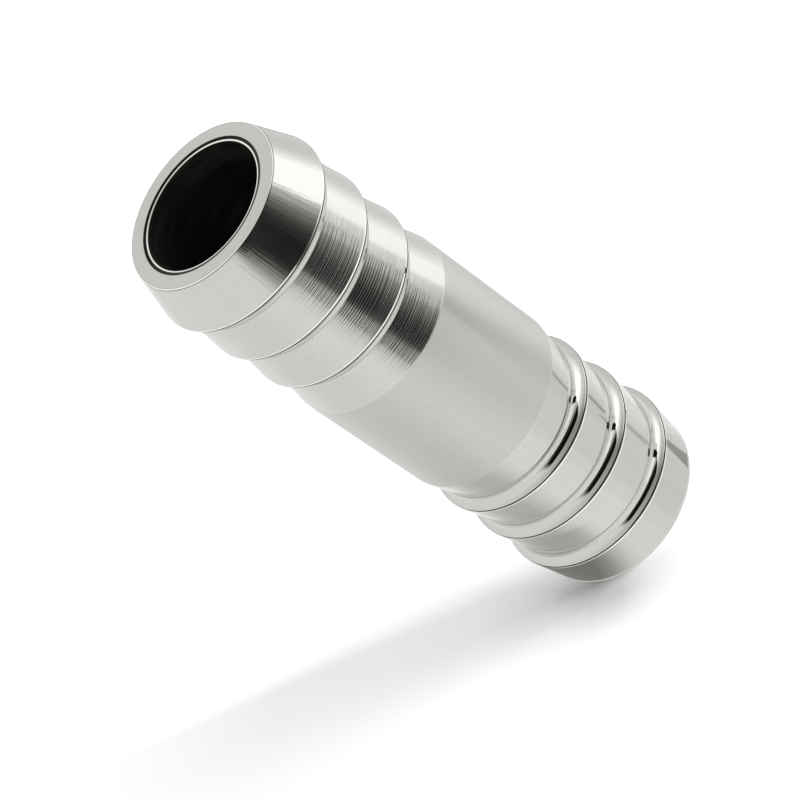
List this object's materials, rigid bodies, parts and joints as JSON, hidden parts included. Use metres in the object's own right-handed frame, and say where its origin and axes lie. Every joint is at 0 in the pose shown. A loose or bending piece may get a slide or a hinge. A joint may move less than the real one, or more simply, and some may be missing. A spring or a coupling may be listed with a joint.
{
  "type": "hose barb union",
  "caption": "Straight turned metal tube with a barbed hose tail at each end, for joining hose of the same bore.",
  "frame": {"origin": "centre of the lower end face, on the surface that the union stands on", "axes": "+Z along the bore, from the lower end face to the upper one; the union is round, so +X and +Y are any two directions across it"},
  "size_m": [0.0274, 0.0274, 0.084],
  "materials": {
    "turned_steel": "bright turned stainless steel: satin body and end faces, polished hollow shoulders"
  },
  "bodies": {
    "root": {"barb_union": "turned_steel"}
  },
  "joints": []
}
